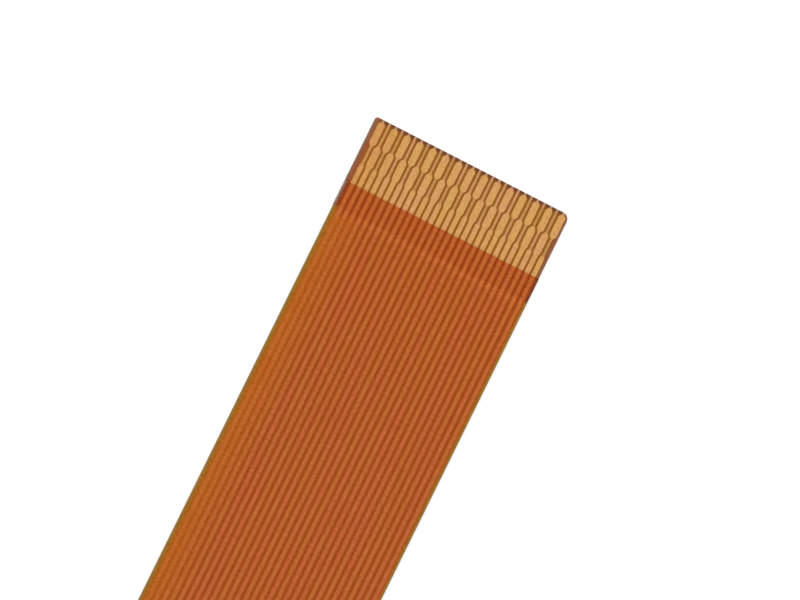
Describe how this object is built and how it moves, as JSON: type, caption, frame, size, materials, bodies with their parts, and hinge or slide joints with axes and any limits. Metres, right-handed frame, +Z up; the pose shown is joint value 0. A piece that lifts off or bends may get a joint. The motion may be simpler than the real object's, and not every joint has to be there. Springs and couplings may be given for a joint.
{
  "type": "flat flex cable",
  "caption": "Thin flexible printed cable: etched copper traces on amber film under a coverlay, with staggered bare gold contacts and a stiffener plate at each end.",
  "frame": {"origin": "under the middle of the cable, on the surface that the stiffeners lie on", "axes": "+X across the conductors, +Y along the cable, +Z up from the stiffeners to the contacts"},
  "size_m": [0.009, 0.06, 0.0002],
  "materials": {
    "base_film": "amber polyimide film, semi-gloss",
    "coverlay": "orange amber polyimide film over copper traces, semi-gloss",
    "stiffener": "thick dark amber polyimide, satin",
    "contacts": "etched copper, gold plated where it is bare, satin"
  },
  "bodies": {
    "root": {"base_film": "base_film", "coverlay": "coverlay", "stiffener_a": "stiffener", "stiffener_b": "stiffener", "conductor_01": "contacts", "conductor_02": "contacts", "conductor_03": "contacts", "conductor_04": "contacts", "conductor_05": "contacts", "conductor_06": "contacts", "conductor_07": "contacts", "conductor_08": "contacts", "conductor_09": "contacts", "conductor_10": "contacts", "conductor_11": "contacts", "conductor_12": "contacts", "conductor_13": "contacts", "conductor_14": "contacts", "conductor_15": "contacts", "conductor_16": "contacts", "conductor_17": "contacts", "conductor_18": "contacts", "conductor_19": "contacts", "conductor_20": "contacts", "conductor_21": "contacts", "conductor_22": "contacts", "conductor_23": "contacts", "conductor_24": "contacts", "conductor_25": "contacts", "conductor_26": "contacts", "conductor_27": "contacts", "conductor_28": "contacts", "conductor_29": "contacts"}
  },
  "joints": []
}
